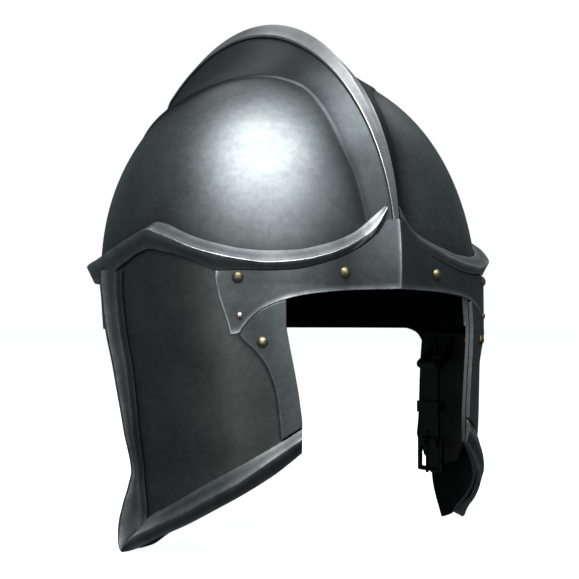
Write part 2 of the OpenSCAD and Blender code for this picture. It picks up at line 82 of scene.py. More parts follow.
TIP_PULL = 0.94
EDGE_STITCH_IN = 1.8 * MM
STRAP_END_CLEAR = 9 * MM
BUCKLE_LOOP_CLEAR = 16 * MM


# ---------------------------------------------------------------- curves through a few stations
def curve(*stations):
    """A smooth curve through (place, size) stations that never overshoots them. Sizes are in mm."""
    x = np.array([s[0] for s in stations], float)
    y = np.array([s[1] for s in stations], float) * MM
    step = np.diff(x)
    rise = np.diff(y) / step
    slope = np.zeros_like(y)
    slope[0], slope[-1] = rise[0], rise[-1]
    for i in range(1, len(x) - 1):
        if rise[i - 1] * rise[i] > 0:
            a, b = 2 * step[i] + step[i - 1], step[i] + 2 * step[i - 1]
            slope[i] = (a + b) / (a / rise[i - 1] + b / rise[i])

    def value(at):
        at = np.clip(np.asarray(at, float), x[0], x[-1])
        i = np.clip(np.searchsorted(x, at, side="right") - 1, 0, len(x) - 2)
        k = (at - x[i]) / step[i]
        a, b = y[i], y[i + 1]
        return (a * (1 + 2 * k) * (1 - k) ** 2 + b * k * k * (3 - 2 * k)
                + step[i] * (slope[i] * k * (1 - k) ** 2 + slope[i + 1] * k * k * (k - 1)))

    return value


def by_height(*stations):
    """As curve, but the places are heights in mm and the sizes are plain numbers."""
    inner = curve(*[(z, v / MM) for z, v in stations])
    return lambda z: inner(np.asarray(z) / MM)


# Walls below the brow line, by height: half width, front and rear reach
wall_half_w = curve((-125, 108), (-95, 102), (-80, 102), (-55, 105), (-20, 107), (0, 109), (24, 110.5))
wall_front = curve((-125, 103), (-60, 102), (-20, 101), (0, 99.5), (24, 97))
wall_rear = curve((-20, 114), (0, 116), (24, 118))

# The comb, by the angle over the head from the brow
comb_base_half_w = curve((0, 9), (22, 12), (35, 13.5), (45, 17), (57, 20), (65, 23), (71, 31), (76, 41),
                         (81, 54), (86, 63), (92, 69), (110, 72), (130, 66), (150, 50), (165, 34),
                         (180, 22))
COMB_BROW, COMB_PEAK, COMB_NAPE = 102 * MM, 187 * MM, 118.5 * MM
COMB_PEAK_DEG = 137
COMB_BROW_HALF_W, COMB_WIDE_HALF_W, COMB_NAPE_HALF_W = 0.6 * MM, 7 * MM, 2.5 * MM
COMB_WIDE_DEG = 92
COMB_ROOF_H, COMB_ROOF_FROM, COMB_ROOF_TO = 7.6 * MM, 46, 164


def ease(k):
    """0 to 1 with a level start and a level end."""
    return (1 - np.cos(np.pi * np.clip(k, 0, 1))) / 2


def comb_reach(deg):
    """How far the comb's top stands from the brow line's axis."""
    rise = (np.clip(deg, 0, COMB_PEAK_DEG) / COMB_PEAK_DEG) ** 1.45
    fall = ease((deg - COMB_PEAK_DEG) / (180 - COMB_PEAK_DEG))
    front = COMB_BROW + (COMB_PEAK - COMB_BROW) * rise
    return np.where(np.asarray(deg) < COMB_PEAK_DEG, front, COMB_PEAK + (COMB_NAPE - COMB_PEAK) * fall)


def comb_top_half_w(deg):
    """Half the width of the comb's top."""
    widen = np.sin(np.pi / 2 * np.clip(deg, 0, COMB_WIDE_DEG) / COMB_WIDE_DEG) ** 2
    narrow = ease((deg - COMB_WIDE_DEG) / (180 - COMB_WIDE_DEG))
    front = COMB_BROW_HALF_W + (COMB_WIDE_HALF_W - COMB_BROW_HALF_W) * widen
    back = COMB_WIDE_HALF_W + (COMB_NAPE_HALF_W - COMB_WIDE_HALF_W) * narrow
    return np.where(np.asarray(deg) < COMB_WIDE_DEG, front, back)


def comb_roof(deg):
    """How far the strip's middle stands above its edges."""
    along = np.clip((deg - COMB_ROOF_FROM) / (COMB_ROOF_TO - COMB_ROOF_FROM), 0, 1)
    return COMB_ROOF_H * np.abs(np.sin(np.pi * along)) ** 1.3


# The rim moulding, by the direction from the front
rim_upper = curve((2.2, 67.2), (9.7, 56), (15.1, 50.6), (23.6, 45.5), (32, 42.3), (40, 41.7), (48, 43),
                  (53.2, 45.2), (59.7, 48.6), (65.2, 52.6), (71.1, 57.1), (74.7, 58.2), (78.9, 55.3),
                  (87, 50), (98.4, 44.9), (106.7, 42.2), (130, 40), (180, 39))
rim_ridge = curve((2.2, 66.3), (6.6, 55.5), (15.6, 45.4), (24.5, 39.3), (32.2, 36.4), (39.6, 35.4),
                  (46.9, 37.2), (53.8, 40.2), (59.5, 43.5), (65.2, 48), (70.7, 51.6), (74.4, 53.7),
                  (79.3, 51.2), (90, 44.6), (102.5, 38.9), (120, 36.5), (180, 35))
rim_lower = curve((2.2, 63.5), (6.6, 51.8), (15.6, 41.5), (24.5, 35.6), (32.2, 32.4), (39.6, 31.6),
                  (46.9, 31.7), (53.7, 31.6), (56.2, 33.7), (61.1, 37.5), (64.8, 39.7), (69.5, 41.6),
                  (75.3, 43.5), (80, 41.7), (86, 37.2), (93.8, 32.2), (101.2, 28.5), (120, 27), (180, 26.5))
rim_out = curve((2.2, 1.2), (8, 4.4), (20, 6.4), (40, 6.8), (60, 8), (180, 8))

# The brow plate, neck band, side plates and borders
brow_bottom = curve((0, 22.2), (14.8, 21.4), (26.7, 19.6), (32, 18), (37.5, 14.9), (42.5, 9.7), (45.8, 3),
                    (47.4, -1.2), (49.2, -1.7), (49.8, 2.5), (51.4, 11.8), (52.6, 19.6), (53.4, 27.5))
band_bottom = curve((36, 2), (84, 0), (86, -16), (91, -16), (93, -8), (97, -2), (102, 0), (180, 0))
plate_front = by_height((-66, 30.8), (-51, 30.5), (-36, 31.3), (-20, 32.7), (-7, 34), (3, 34.8), (45, 35))
plate_rear = by_height((-119, 82.5), (-104, 83.5), (-93, 84.5), (-82, 85.5), (-55, 86), (-22, 88), (0, 90),
                       (22, 91), (45, 91))
plate_bottom = curve((30.5, -62), (38, -73.3), (47, -84.4), (55, -92.9), (63, -101), (72, -109),
                     (78, -115.5), (84, -119))
border_step = by_height((-62, 36), (-46, 36.9), (-33, 37.7), (-23, 39.3), (-17.7, 40.6), (-11, 43.2),
                        (-3.8, 47.2), (0, 48.4))
lower_upper = curve((30.5, -50), (38, -59), (53.5, -75.9), (72.3, -94.8), (84, -103))
lower_ridge = curve((30.5, -56), (38, -66), (48, -79.5), (55, -87), (62.7, -95), (72, -104), (78, -110),
                    (81.5, -114))
lower_edge = curve((30.5, -63.5), (38, -74.8), (47, -85.9), (55, -94.4), (63, -102.5), (72, -110.5),
                   (78, -117), (81.5, -120.5))
lower_out = curve((30.5, 5), (38, 6), (53, 7.2), (66, 9), (75, 12), (81.5, 17))
flange_reach = curve((-116, 15), (-104, 14), (-95, 11.5), (-86, 7.5), (-77, 5), (-55, 6.5), (-22, 9),
                     (23, 10.4), (33, 11))


# ---------------------------------------------------------------- the helmet's surface
def mix(a, b, k):
    return a + (b - a) * k


def soft_max(a, b, r):
    return (a + b + np.sqrt((a - b) ** 2 + r * r)) / 2


def skull_arch(f, off):
    """Distance of the bare skull over the head from the brow line's axis, at the angle f."""
    w = (1 + np.cos(f)) / 2
    n = mix(2.35, 1.9, w)
    reach = np.where(f < math.pi / 2, SKULL_FRONT, SKULL_REAR) + off
    return ((np.abs(np.cos(f)) / reach) ** n + (np.abs(np.sin(f)) / (SKULL_RISE + off)) ** n) ** (-1 / n)


def skull_reach(f, x, off):
    """As skull_arch, at the distance x from the middle plane."""
    p = mix(REAR_POWER, FRONT_POWER, (1 + np.cos(f)) / 2)
    return skull_arch(f, off) * np.maximum(0, 1 - (x / (SKULL_HALF_W + off)) ** p) ** (1 / p)


def comb_half_top(f, off):
    """Half the width of the comb's top, stood off by off."""
    return np.maximum(0.3 * MM, comb_top_half_w(np.degrees(f)) + off)


def helmet_reach(f, x, off):
    """As skull_reach, with the comb."""
    deg = np.degrees(f)
    top, xt, xb = comb_reach(deg) + off, comb_half_top(f, off), comb_base_half_w(deg) + off
    foot = skull_reach(f, xb, off)
    k = (x - xt) / (xb - xt)
    hollow = 0.06 * (top - foot) * np.sin(math.pi * np.clip(k, 0, 1))
    flank = np.where(k > 1, foot - 3 * (x - xb), mix(top, foot, k) - hollow)
    r = np.minimum(4 * MM, 0.25 * np.maximum(0, comb_reach(deg) - skull_arch(f, 0)))
    return np.where(x <= xt, top, soft_max(flank, skull_reach(f, x, off), r) - 0.1 * r)


def over_head(f, x, r):
    """The place on the right side at the angle f, x from the middle plane and r from the axis."""
    x, r = np.broadcast_arrays(x, r)
    return np.stack([-x, -r * np.cos(f), BROW_LINE + r * np.sin(f)], -1)


def reach_at(t, z, off, comb=False):
    """Distance of the outside from the middle axis, in the direction t and at the height z."""
    t, z, off = np.broadcast_arrays(np.asarray(t, float), np.asarray(z, float), np.asarray(off, float))
    a = wall_half_w(z / MM) + off
    b = np.where(np.cos(t) > 0, wall_front(z / MM), wall_rear(z / MM)) + off
    p = np.where(np.cos(t) > 0, FRONT_POWER, REAR_POWER)
    below = ((np.abs(np.sin(t)) / a) ** p + (np.abs(np.cos(t)) / b) ** p) ** (-1 / p)
    lo, hi = np.full(t.shape, 20 * MM), np.full(t.shape, 190 * MM)
    for _ in range(22):
        m = (lo + hi) / 2
        x, y, dz = m * np.abs(np.sin(t)), m * np.cos(t), np.maximum(z - BROW_LINE, 0)
        f = np.arctan2(dz, y)
        reach = helmet_reach(f, x, off) if comb else skull_reach(f, x, off)
        inside = (x < SKULL_HALF_W + off) & (np.hypot(y, dz) < reach)
        lo, hi = np.where(inside, m, lo), np.where(inside, hi, m)
    return np.where(z > BROW_LINE, (lo + hi) / 2, below)


def at(deg, z, off, comb=False):
    """The place on the outside in the direction deg from the front, stood off by off."""
    t = np.radians(deg)
    r = reach_at(t, z, off, comb)
    return np.stack([-r * np.sin(t), -r * np.cos(t), np.broadcast_to(z, r.shape)], -1)


# ---------------------------------------------------------------- meshes
def build(name, verts, faces, wear=None, left=False, sharp=32):
    """A mesh object, mirrored for the left side, with the wear of its edges as an attribute."""
    verts = np.array(verts, float)
    if left:
        verts[:, 0] *= -1
    mesh = bpy.data.meshes.new(name)
    mesh.from_pydata(verts.tolist(), [], faces)
    mesh.validate()
    work = bmesh.new()
    work.from_mesh(mesh)
    bmesh.ops.recalc_face_normals(work, faces=work.faces)
    work.to_mesh(mesh)
    work.free()
    if wear is not None:
        mesh.attributes.new("wear", "FLOAT", "POINT").data.foreach_set("value", np.asarray(wear, np.float32))
    mesh.polygons.foreach_set("use_smooth", [True] * len(mesh.polygons))
    mesh.set_sharp_from_angle(angle=math.radians(sharp))
    obj = bpy.data.objects.new(name, mesh)
    bpy.context.scene.collection.objects.link(obj)
    return obj


def soften(obj, width, segments=3, angle=32):
    """Rounds the sharp edges, as hammered and filed plate has them."""
    mod = obj.modifiers.new("soften", "BEVEL")
    mod.width = width
    mod.segments = segments
    mod.limit_method = "ANGLE"
    mod.angle_limit = math.radians(angle)


def grid_faces(n, m, start=0, flip=False):
    out = []
    for i in range(n - 1):
        for j in range(m - 1):
            a = start + i * m + j
            quad = [a, a + m, a + m + 1, a + 1]
            out.append(quad[::-1] if flip else quad)
    return out


def run_length(points, axis):
    """Length along one axis of a grid, from its first edge and from its last."""
    step = np.linalg.norm(np.diff(points, axis=axis), axis=-1)
    pad = [(0, 0), (0, 0)]
    pad[axis] = (1, 0)
    run = np.pad(np.cumsum(step, axis=axis), pad)
    return run, np.take(run, [-1], axis=axis) - run


def shell(name, outer, inner, left=False, worn="uUvV", reach=1.6 * MM, sharp=32):
    """A closed plate between two grids. worn names the edges that are rubbed bright."""
    n, m = outer.shape[:2]
    count = n * m
    verts = np.concatenate([outer.reshape(-1, 3), inner.reshape(-1, 3)])
    faces = grid_faces(n, m) + grid_faces(n, m, count, True)
    ring = [i * m for i in range(n - 1)] + [(n - 1) * m + j for j in range(m - 1)]
    ring += [i * m + m - 1 for i in range(n - 1, 0, -1)] + list(range(m - 1, 0, -1))
    for k, a in enumerate(ring):
        b = ring[(k + 1) % len(ring)]
        faces.append([b, a, count + a, count + b])
    lengths = dict(zip("uU", run_length(outer, 0)))
    lengths.update(zip("vV", run_length(outer, 1)))
    near = np.min([lengths[w] for w in worn], axis=0) if worn else np.ones((n, m))
    wear = np.exp(-(near / reach) ** 2)
    return build(name, verts, faces, np.concatenate([wear.ravel(), 0.4 * wear.ravel()]), left, sharp)


def sweep(name, sections, wear, left=False, sharp=32):
    """A bar through closed sections, an array of stations by loop points."""
    n, m = sections.shape[:2]
    faces = []
    for i in range(n - 1):
        for j in range(m):
            a, b = i * m + j, i * m + (j + 1) % m
            faces.append([a, b, b + m, a + m])
    faces.append(list(range(m))[::-1])
    faces.append([(n - 1) * m + j for j in range(m)])
    return build(name, sections.reshape(-1, 3), faces, wear.ravel(), left, sharp)


def dense(corners, wear, parts):
    """Closed loop corners and their wear, with each side cut into parts."""
    m = corners.shape[1]
    loops, worn = [], []
    for j in range(m):
        a, b = corners[:, j], corners[:, (j + 1) % m]
        wa, wb = wear[:, j], wear[:, (j + 1) % m]
        for k in range(parts[j]):
            s = k / parts[j]
            loops.append(mix(a, b, s))
            worn.append(np.maximum(wa * (1 - s) ** 3, wb * s ** 3))
    return np.stack(loops, 1), np.stack(worn, 1)


# ---------------------------------------------------------------- materials
def material(name):
    mat = bpy.data.materials.new(name)
    mat.use_nodes = True
    nodes = mat.node_tree.nodes
    return mat, nodes, mat.node_tree.links, nodes["Principled BSDF"]


def add(nodes, kind, **values):
    """A node with its properties (plain names) and input sockets (names with a capital) set."""
    node = nodes.new(kind)
    for key, value in values.items():
        if hasattr(node, key):
            setattr(node, key, value)
        else:
            node.inputs[key.replace("_", " ")].default_value = value
    return node


def noise(nodes, links, place, scale, detail=4.0, rough=0.55, stretch=None):
    source = place
    if stretch:
        mapping = add(nodes, "ShaderNodeMapping")
        mapping.inputs["Scale"].default_value = stretch
        links.new(place, mapping.inputs["Vector"])
        source = mapping.outputs["Vector"]
    node = add(nodes, "ShaderNodeTexNoise", Scale=scale, Detail=detail, Roughness=rough)
    links.new(source, node.inputs["Vector"])
    return node.outputs["Fac"]


def ramp(nodes, links, value, *stops):
    node = nodes.new("ShaderNodeValToRGB")
    while len(node.color_ramp.elements) < len(stops):
        node.color_ramp.elements.new(0.5)
    for element, (place, colour) in zip(node.color_ramp.elements, stops):
        element.position = place
        element.color = (*colour, 1) if len(colour) == 3 else (colour[0], colour[0], colour[0], 1)
    links.new(value, node.inputs["Fac"])
    return node.outputs["Color"]


def mixed(nodes, links, factor, a, b, blend="MIX"):
    node = add(nodes, "ShaderNodeMix", data_type="RGBA", blend_type=blend)
    for socket, value in ((node.inputs[0], factor), (node.inputs[6], a), (node.inputs[7], b)):
        if isinstance(value, bpy.types.NodeSocket):
            links.new(value, socket)
        elif isinstance(value, tuple):
            socket.default_value = (*value, 1)
        else:
            socket.default_value = value
    return node.outputs[2]


def maths(nodes, links, operation, a, b=0.0, clamp=False):
    node = add(nodes, "ShaderNodeMath", operation=operation, use_clamp=clamp)
    for socket, value in zip(node.inputs, (a, b)):
        if isinstance(value, bpy.types.NodeSocket):
            links.new(value, socket)
        else:
            socket.default_value = value
    return node.outputs[0]


def bump(nodes, links, height, distance, strength, bsdf, after=None):
    node = add(nodes, "ShaderNodeBump", Distance=distance, Strength=strength)
    links.new(height, node.inputs["Height"])
    if after is not None:
        links.new(after, node.inputs["Normal"])
    links.new(node.outputs["Normal"], bsdf.inputs["Normal"])
    return node.outputs["Normal"]


def steel(name, dark, light, edge, rough):
    """Blackened plate: cloudy heat colour, fine filing marks, shallow hammer dents, bright worn edges and
    painted shade read from a point attribute.
    """
    mat, nodes, links, bsdf = material(name)
    place = add(nodes, "ShaderNodeTexCoord").outputs["Object"]
    cloud = noise(nodes, links, place, 22, 5, 0.6)
    fine = noise(nodes, links, place, 260, 3, 0.6)
    filing = noise(nodes, links, place, 90, 6, 0.7, stretch=(1, 1, 9))
    colour = ramp(nodes, links, cloud, (0.3, dark), (0.72, light))
    speck = ramp(nodes, links, fine, (0.35, (0.72,)), (0.62, (1.0,)))
    colour = mixed(nodes, links, 0.55, colour, speck, "MULTIPLY")
    wear = add(nodes, "ShaderNodeAttribute", attribute_name="wear").outputs["Fac"]
    chip = noise(nodes, links, place, 120, 5, 0.7)
    broken = ramp(nodes, links, chip, (0.32, (0.35,)), (0.6, (1.0,)))
    rubbed = maths(nodes, links, "MULTIPLY", wear, broken, True)
    colour = mixed(nodes, links, rubbed, colour, edge)
    # Painted shade: this point attribute darkens the colour towards near black where shade falls.
    painted_shade = add(nodes, "ShaderNodeAttribute", attribute_name="painted_shade").outputs["Fac"]
    colour = mixed(nodes, links, maths(nodes, links, "MULTIPLY", painted_shade, 0.93), colour, (0.012, 0.014, 0.015))
    links.new(colour, bsdf.inputs["Base Color"])
    bsdf.inputs["Metallic"].default_value = 1.0
    spread = maths(nodes, links, "MULTIPLY", filing, 0.16)
    gloss = maths(nodes, links, "ADD", spread, rough - 0.08)
    gloss = maths(nodes, links, "SUBTRACT", gloss, maths(nodes, links, "MULTIPLY", rubbed, 0.1), True)
    links.new(gloss, bsdf.inputs["Roughness"])
    dent = noise(nodes, links, place, 34, 2, 0.4)
    first = bump(nodes, links, dent, 0.0012, 0.11, bsdf)
    bump(nodes, links, filing, 0.00012, 0.25, bsdf, first)
    return mat


def plain_metal(name, dark, light, rough):
    """Small fittings: patina that settles in blotches, and fine scratches."""
    mat, nodes, links, bsdf = material(name)
    place = add(nodes, "ShaderNodeTexCoord").outputs["Object"]
    blotch = noise(nodes, links, place, 180, 5, 0.65)
    scratch = noise(nodes, links, place, 900, 4, 0.7, stretch=(1, 4, 1))
    links.new(ramp(nodes, links, blotch, (0.34, dark), (0.62, light)), bsdf.inputs["Base Color"])
    bsdf.inputs["Metallic"].default_value = 1.0
    links.new(maths(nodes, links, "ADD", maths(nodes, links, "MULTIPLY", scratch, 0.22), rough - 0.1),
              bsdf.inputs["Roughness"])
    bump(nodes, links, scratch, 0.00012, 0.3, bsdf)
    return mat


def leather(name, dark, light):
    mat, nodes, links, bsdf = material(name)
    place = add(nodes, "ShaderNodeTexCoord").outputs["Object"]
    tone = noise(nodes, links, place, 45, 5, 0.6)
    grain = add(nodes, "ShaderNodeTexVoronoi", Scale=1300.0, feature="DISTANCE_TO_EDGE")
    links.new(place, grain.inputs["Vector"])
    pore = noise(nodes, links, place, 700, 3, 0.6)
    links.new(ramp(nodes, links, tone, (0.3, dark), (0.7, light)), bsdf.inputs["Base Color"])
    links.new(maths(nodes, links, "ADD", maths(nodes, links, "MULTIPLY", pore, 0.2), 0.45),
              bsdf.inputs["Roughness"])
    first = bump(nodes, links, grain.outputs["Distance"], 0.0003, 0.5, bsdf)
    bump(nodes, links, tone, 0.0008, 0.3, bsdf, first)
    return mat


def cloth(name, dark, light):
    """Plain-weave linen: warp and weft threads, slubs and soil."""
    mat, nodes, links, bsdf = material(name)
    place = add(nodes, "ShaderNodeTexCoord").outputs["Object"]
    soil = noise(nodes, links, place, 30, 5, 0.6)
    slub = noise(nodes, links, place, 500, 3, 0.6)
    threads = []
    for direction in ("X", "Z"):
        wave = add(nodes, "ShaderNodeTexWave", Scale=260.0, Distortion=1.2, Detail=1.0,
                   bands_direction=direction)
        links.new(place, wave.inputs["Vector"])
        threads.append(wave.outputs["Fac"])
    weave = maths(nodes, links, "MAXIMUM", threads[0], threads[1])
    base = ramp(nodes, links, soil, (0.3, dark), (0.7, light))
    links.new(mixed(nodes, links, 0.5, base, ramp(nodes, links, slub, (0.3, (0.6,)), (0.7, (1.0,))),
                    "MULTIPLY"), bsdf.inputs["Base Color"])
    bsdf.inputs["Roughness"].default_value = 0.92
    bsdf.inputs["Sheen Weight"].default_value = 0.25
    bump(nodes, links, weave, 0.0003, 0.45, bsdf)
    return mat


SKULL = steel("skull_steel", (0.16, 0.182, 0.192), (0.26, 0.288, 0.298), (0.58, 0.62, 0.64), 0.455)
PLATE = steel("plate_steel", (0.115, 0.128, 0.136), (0.20, 0.22, 0.23), (0.66, 0.70, 0.72), 0.44)
PANEL = steel("panel_steel", (0.115, 0.127, 0.124), (0.19, 0.204, 0.198), (0.28, 0.30, 0.30), 0.46)
# The rear borders get a much darker copy of the border steel: painted shade for the flange that faces away
# from the light.
REAR_SHADED = steel("rear_border_shaded_steel", (0.035, 0.040, 0.043), (0.07, 0.078, 0.082), (0.34, 0.37, 0.38), 0.48)
BORDER = steel("border_steel", (0.13, 0.142, 0.15), (0.235, 0.255, 0.265), (0.80, 0.84, 0.86), 0.40)
# The comb strip gets a much lighter copy of the steel: a painted highlight on the strip's top, which faces
# the light.
STRIP_LIT = steel("strip_lit_steel", (0.34, 0.36, 0.37), (0.54, 0.57, 0.58), (0.85, 0.88, 0.90), 0.42)
# Near-black steel for the faces that look inwards: partly the black paint inside the helmet, partly painted
# shade for its dark hollow.
INSIDE_SHADED = steel("inside_shaded_steel", (0.010, 0.011, 0.011), (0.022, 0.023, 0.023), (0.05, 0.05, 0.05), 0.7)
BRASS = plain_metal("aged_brass", (0.13, 0.112, 0.06), (0.42, 0.38, 0.24), 0.42)
PALE_STEEL = plain_metal("pale_rivet", (0.40, 0.33, 0.31), (0.74, 0.66, 0.64), 0.32)
IRON = plain_metal("dark_iron", (0.012, 0.012, 0.012), (0.035, 0.034, 0.033), 0.5)
LEATHER = leather("dark_leather", (0.006, 0.005, 0.0045), (0.016, 0.013, 0.011))
THREAD = leather("waxed_thread", (0.03, 0.025, 0.02), (0.06, 0.05, 0.04))
LINEN = cloth("quilted_linen", (0.010, 0.0095, 0.009), (0.022, 0.021, 0.019))


def finish_as(obj, mat, body="helmet", inside=None):
    """Gives a piece its material and its body. inside is for faces that look inwards."""
    obj.data.materials.append(mat)
    if inside:
        obj.data.materials.append(inside)
        for face in obj.data.polygons:
            out = Vector((face.center.x, face.center.y, max(0, face.center.z - BROW_LINE)))
            face.material_index = int(face.normal.dot(out) < -0.3 * out.length)
    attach(obj, body)


def paint_shade(obj, painted_shade):
    """Writes how much painted shade darkens each point, which the steel reads."""
    values = np.asarray(painted_shade, np.float32).ravel()
    obj.data.attributes.new("painted_shade", "FLOAT", "POINT").data.foreach_set("value", values)


SIDES = (("right", False), ("left", True))


# ---------------------------------------------------------------- the skull and its comb
def skull_grid(off):
    """From the middle plane up the comb, down its side and over the skull to the ear."""
    f = np.radians(np.linspace(0, 180, 150))[:, None]
    xt, xb = comb_half_top(f, off), comb_base_half_w(np.degrees(f)) + off + 5 * MM
    a = SKULL_HALF_W + off
    turn = np.arcsin(np.minimum(1, xb / a))
    over = a * np.sin(mix(turn, math.radians(88.5), np.linspace(0, 1, 46)[None, 1:]))
    flank = mix(xt, xb, np.linspace(0, 1, 40)[None, :])
    x = np.concatenate([np.full_like(xt, 0.15 * MM), flank, over], 1)
    f = np.broadcast_to(f, x.shape)
    return over_head(f, x, helmet_reach(f, x, off))


def comb_painted_shade(grid):
    """Painted shade in the hollow where the comb meets the skull, over the comb's side and above the rim."""
    x, y, z = -grid[..., 0], -grid[..., 1], grid[..., 2]
    f = np.arctan2(z - BROW_LINE, y)
    base, top = comb_base_half_w(np.degrees(f)), comb_half_top(f, 0)
    up = np.clip((x - top) / (base - top), 0, 1)
    deg = np.degrees(f)
    fore = np.clip((60 - deg) / 35, 0, 1)
    comb_side = np.where(x < base, mix(0.8 - 0.1 * fore, 0.98, up ** mix(0.8, 1.5, fore)), 0)
    hollow = np.where(x >= base, 0.97 * np.exp(-(np.maximum(0, x - base) / (11 * MM)) ** 1.5), 0)
    t = np.degrees(np.arctan2(x, y))
    rim = 0.55 * np.exp(-np.maximum(0, z - rim_upper(t)) / (9 * MM))
    tall = np.clip((comb_reach(deg) - skull_arch(f, 0)) / (10 * MM), 0, 1)
    return np.clip(np.maximum(np.maximum(comb_side, hollow) * tall, rim), 0, 1)


def skulls():
    for side, left in SIDES:
        grid = skull_grid(0)
        obj = shell(f"skull_{side}_skin", grid, skull_grid(-STEEL_T), left, worn="", sharp=50)
        # The skull's painted shade: darker over the comb's side, in the hollow at its foot and just above the
        # rim moulding.
        paint_shade(obj, np.concatenate([comb_painted_shade(grid).ravel()] * 2))
        finish_as(obj, SKULL, inside=INSIDE_SHADED)
        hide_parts(f"skull_{side}")


def comb_strip():
    deg = np.linspace(STRIP_FROM, STRIP_TO, 200)
    f = np.radians(deg)
    w, r, h = comb_half_top(f, 0) + STRIP_OVERHANG, comb_reach(deg) + STRIP_SEAT, comb_roof(deg)
    profile = [(0 * w, h), (w, 0), (w, STRIP_T), (0 * w, STRIP_T + h), (-w, STRIP_T), (-w, 0)]
    corners = np.stack([over_head(f, x, r + up) for x, up in profile], 1)
    wear = np.tile([0, 0.2, 1.0, 0.55, 1.0, 0.2], (len(deg), 1))
    obj = sweep("comb_strip_skin", *dense(corners, wear, [2, 1, 6, 6, 1, 2]), sharp=25)
    soften(obj, 0.35 * MM, 3, 25)
    finish_as(obj, STRIP_LIT)
    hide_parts("comb_strip")


# ---------------------------------------------------------------- the rim moulding
def rim_mouldings():
    deg = np.concatenate([np.linspace(2.4, 20, 24), np.linspace(21, 100, 90), np.linspace(101.5, 179.8, 60)])
    zu, zr, zl, out = rim_upper(deg), rim_ridge(deg), rim_lower(deg), rim_out(deg)
    base = MOULDING_BASE
    corners = np.stack([
        at(deg, zu, base, True),
        at(deg, zl, base, True),
        at(deg, zl, base + np.minimum(3.2 * MM, 0.6 * out), True),
        at(deg, zr, base + out, True),
        at(deg, zu, base + np.minimum(1 * MM, out / 3), True)], 1)
    wear = np.tile([0.2, 0.1, 0.45, 1.0, 0.75], (len(deg), 1))
    loops, worn = dense(corners, wear, [3, 1, 6, 6, 1])
    for side, left in SIDES:
        obj = sweep(f"rim_moulding_{side}_skin", loops, worn, left, sharp=25)
        soften(obj, 0.5 * MM, 3, 25)
        finish_as(obj, BORDER)
        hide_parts(f"rim_moulding_{side}")


# ---------------------------------------------------------------- the brow plate and neck band
def brow_top(deg):
    """Height of the brow plate's upper edge, under the moulding and level in the middle."""
    return np.where(deg < 2.2, mix(59.5 * MM, 59.2 * MM, deg / 2.2),
                    np.minimum(59.2 * MM, rim_lower(deg) - 1.5 * GAP))


def keel(deg, z):
    """How much the brow plate's middle is raised into its ridge."""
    return mix(5.6, 8.2, np.clip((z / MM - 22) / 36, 0, 1)) * MM * np.clip(1 - np.abs(deg) / 17, 0, 1) ** 1.8


def brow_plate():
    half = np.concatenate([np.linspace(0, 44, 60), np.linspace(44.4, 49, 14), np.linspace(49.2, 53.4, 22)])
    deg = np.concatenate([-half[:0:-1], half])[:, None]
    z = mix(brow_bottom(np.abs(deg)), brow_top(np.abs(deg)), np.linspace(0, 1, 22)[None, :])
    deg = np.broadcast_to(deg, z.shape)
    under = mix(0.8, 2.5, np.clip((np.abs(deg) - 29) / 5, 0, 1)) * MM
    t = np.radians(deg)

    def raised(off, over_comb):
        """off outside the bare skull and over_comb outside the comb, whichever stands further out."""
        r = np.maximum(reach_at(t, z, off + keel(deg, z)), reach_at(t, z, over_comb, True))
        return np.stack([-r * np.sin(t), -r * np.cos(t), z], -1)

    obj = shell("brow_plate_skin", raised(PLATE_STANDS, PLATE_OVER_COMB), raised(under, 0.9 * MM),
                worn="uUv", reach=1.5 * MM, sharp=28)
    wear = np.empty(len(obj.data.vertices), np.float32)
    obj.data.attributes["wear"].data.foreach_get("value", wear)
    crease = np.exp(-(np.abs(np.array([v.co.x for v in obj.data.vertices])) / (0.9 * MM)) ** 2)
    obj.data.attributes["wear"].data.foreach_set("value", np.maximum(wear, 0.9 * crease).astype(np.float32))
    soften(obj, 0.45 * MM, 3, 28)
    finish_as(obj, PLATE, inside=INSIDE_SHADED)
    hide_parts("brow_plate")


def neck_band():
    half = np.concatenate([np.linspace(36, 84, 16), np.linspace(84.5, 102, 36), np.linspace(104, 180, 40)])
    deg = np.concatenate([half, 360 - half[-2::-1]])[:, None]
    fold = np.where(deg > 180, 360 - deg, deg)
    z = mix(band_bottom(fold), np.full_like(fold, BROW_LINE), np.linspace(0, 1, 12)[None, :])
    deg = np.broadcast_to(deg, z.shape)
    obj = shell("neck_band_skin", at(deg, z, 0), at(deg, z, -STEEL_T), worn="v", sharp=40)
    soften(obj, 0.4 * MM, 2, 50)
    finish_as(obj, PLATE, inside=INSIDE_SHADED)
    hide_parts("neck_band")


# ---------------------------------------------------------------- the side plates and their borders
def plate_grid(off):
    u, v = np.linspace(0, 1, 60)[:, None], np.linspace(0, 1, 70)[None, :]
    top = rim_lower(mix(35, 91, u)) - GAP
    z = mix(plate_bottom(mix(31, 84, u)), top, v)
    return at(mix(plate_front(z), plate_rear(z), u), z, off)


def side_plates():
    for side, left in SIDES:
        obj = shell(f"side_plate_{side}_skin", plate_grid(FIT + STEEL_T), plate_grid(FIT), left,
                    worn="U", sharp=40)
        finish_as(obj, PANEL, inside=INSIDE_SHADED)
        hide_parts(f"side_plate_{side}")


def cheek_borders():
    u, v = np.linspace(0, 1, 14)[:, None], np.linspace(0, 1, 90)[None, :]
    lo = lower_upper(mix(30.6, 36.4, u)) + GAP
    hi = brow_bottom(mix(34.8, 48.4, u)) - 2 * GAP
    z = mix(lo, hi, v)
    deg = mix(plate_front(z), border_step(z), u)
    height = BORDER_T * np.where(u > 0.999, 0.5, 1) * np.ones_like(z)
    for side, left in SIDES:
        obj = shell(f"cheek_border_{side}_skin", at(deg, z, BORDER_BASE + height), at(deg, z, BORDER_BASE),
                    left, worn="U", reach=1.3 * MM, sharp=28)
        soften(obj, 0.4 * MM, 3, 28)
        finish_as(obj, PLATE, inside=INSIDE_SHADED)
        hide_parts(f"cheek_border_{side}")


def border_tip():
    """The point where the lower and rear borders of the right side end together."""
    return at(81.8, -119.3 * MM, lower_out(81.5) - 2 * MM)


